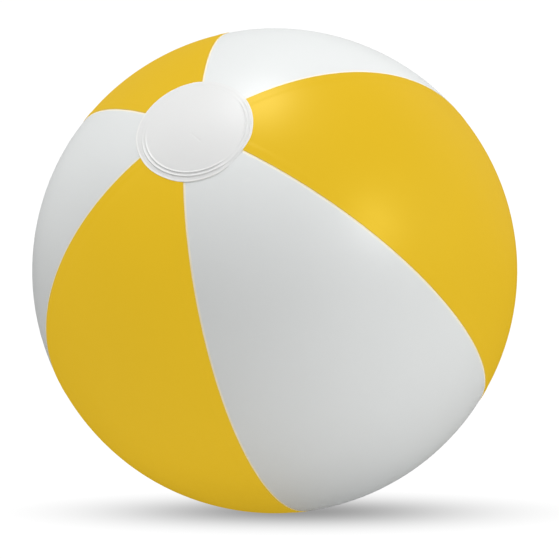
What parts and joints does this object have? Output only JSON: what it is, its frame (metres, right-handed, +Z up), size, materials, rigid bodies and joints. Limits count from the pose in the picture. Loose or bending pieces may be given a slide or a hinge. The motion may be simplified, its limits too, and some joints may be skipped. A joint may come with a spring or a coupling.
{
  "type": "inflatable beach ball",
  "caption": "Inflatable film ball of alternating white and yellow gores with a welded disc over each pole and a press-in valve.",
  "frame": {"origin": "on the floor under the ball's middle, at the centre of the patch that its weight presses flat", "axes": "+Z up, +X to the right and -Y towards the viewer, with the ball lying as pictured: the front pole points to the viewer's upper left"},
  "size_m": [0.255, 0.2552, 0.254],
  "materials": {
    "white_film": "satin",
    "yellow_film": "satin",
    "clear_vinyl": "satin"
  },
  "bodies": {
    "skin": {"gore_white_1": "white_film", "gore_yellow_1": "yellow_film", "gore_white_2": "white_film", "gore_yellow_2": "yellow_film", "gore_white_3": "white_film", "gore_yellow_3": "yellow_film", "pole_disc_front": "white_film", "pole_disc_rear": "white_film", "valve_flange": "clear_vinyl", "valve_cup": "clear_vinyl"},
    "stem": {"valve_stem": "clear_vinyl", "plug_strap": "clear_vinyl"},
    "plug": {"valve_plug": "clear_vinyl"},
    "flap": {"check_flap": "clear_vinyl"}
  },
  "joints": [
    {"name": "valve_press", "type": "slide", "parent": "skin", "child": "stem", "axis": [-0.0669, 0.9978, -0.0023], "range_m": [0, 0.01], "deforming": ["valve_cup"]},
    {"name": "plug_pull", "type": "slide", "parent": "stem", "child": "plug", "axis": [-0.0669, 0.9978, -0.0023], "range_m": [0, 0.01], "deforming": ["plug_strap"]},
    {"name": "flap_swing", "type": "hinge", "parent": "stem", "child": "flap", "pos_m": [-0.00537, 0.11324, 0.12255], "axis": [0.8546, 0.0585, 0.5159], "range_deg": [0, 60], "stiffness_Nm_per_rad": 0.00002}
  ]
}
